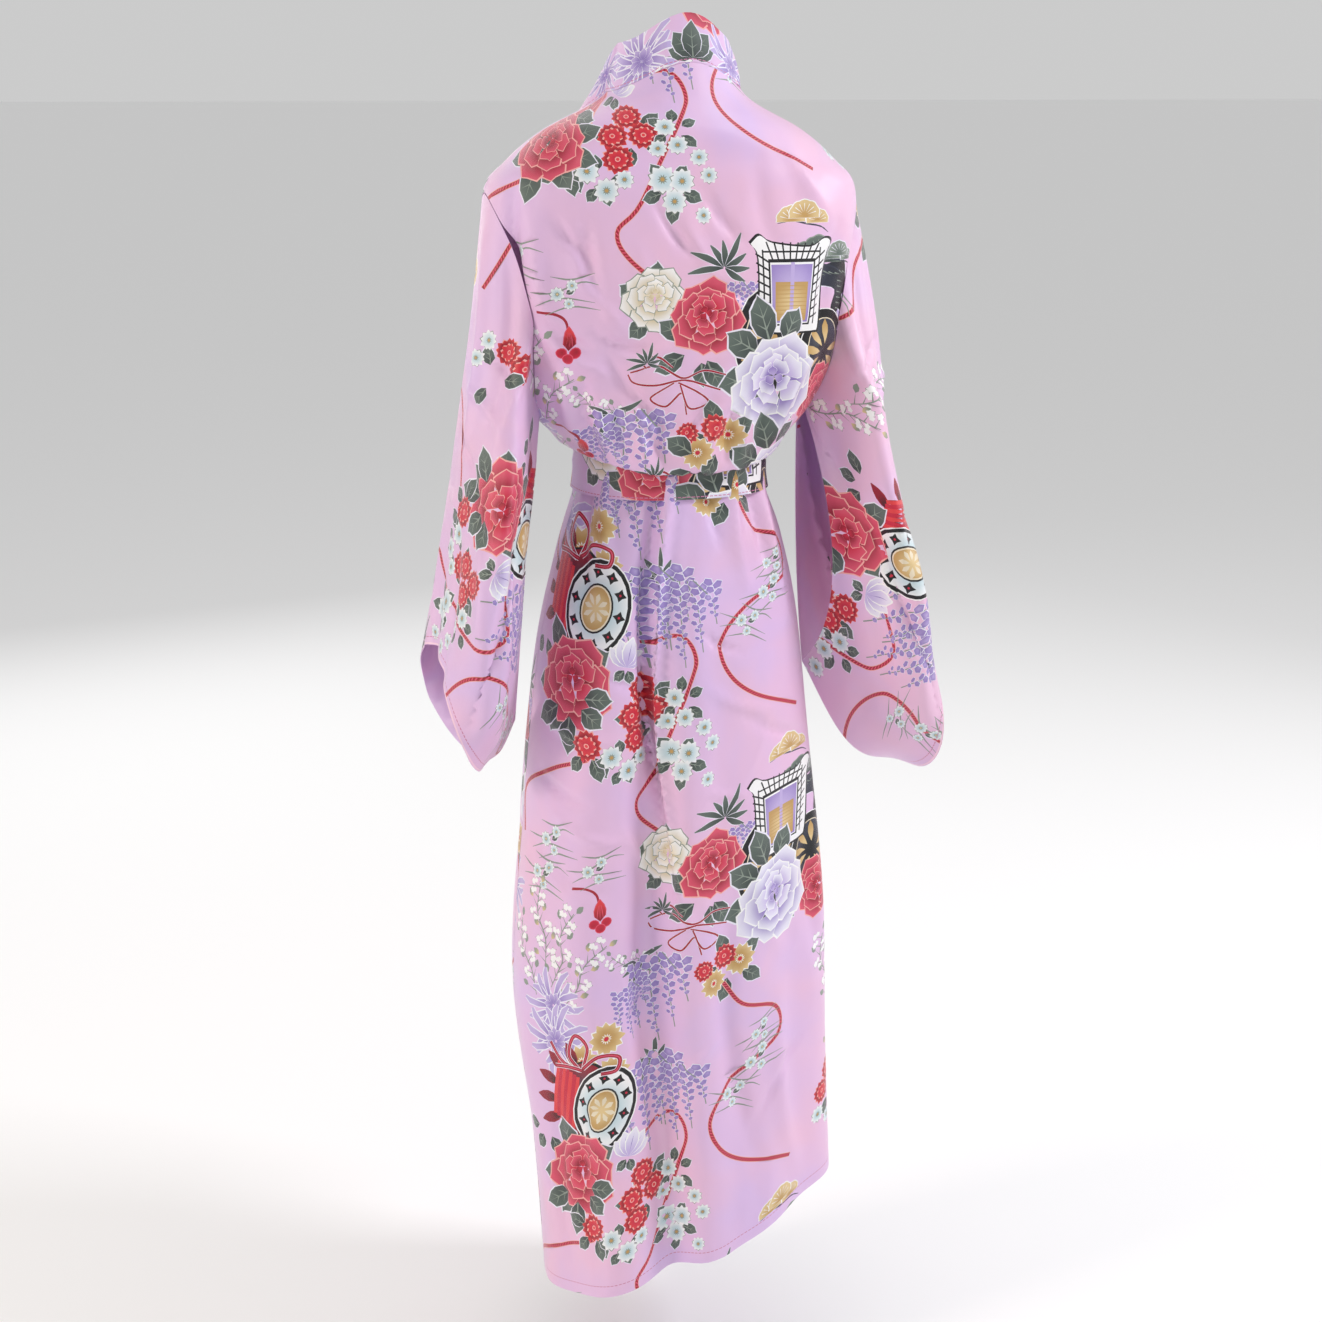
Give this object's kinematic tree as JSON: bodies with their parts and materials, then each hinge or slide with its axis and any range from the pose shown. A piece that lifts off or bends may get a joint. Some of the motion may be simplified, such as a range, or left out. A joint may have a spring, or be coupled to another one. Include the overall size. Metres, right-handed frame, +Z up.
{
  "type": "kimono robe",
  "caption": "Long wrap robe in kimono cut with deep open-backed sleeves, standing collar band and tied belt, filled out as worn.",
  "frame": {"origin": "middle of the neck, level with the nape seam, where the wearer's shoulders hold the robe", "axes": "+Z up from hem to collar, +X to the wearer's left, +Y to the wearer's back"},
  "size_m": [0.5579, 0.2798, 1.4143],
  "materials": {
    "satin": "printed satin",
    "band_satin": "printed satin"
  },
  "bodies": {
    "root": {"back": "satin", "front_left": "satin", "front_right": "satin", "sleeve_left": "satin", "sleeve_right": "satin", "collar": "band_satin", "belt": "band_satin", "belt_knot": "band_satin", "belt_end_left": "band_satin", "belt_end_right": "band_satin"}
  },
  "joints": []
}
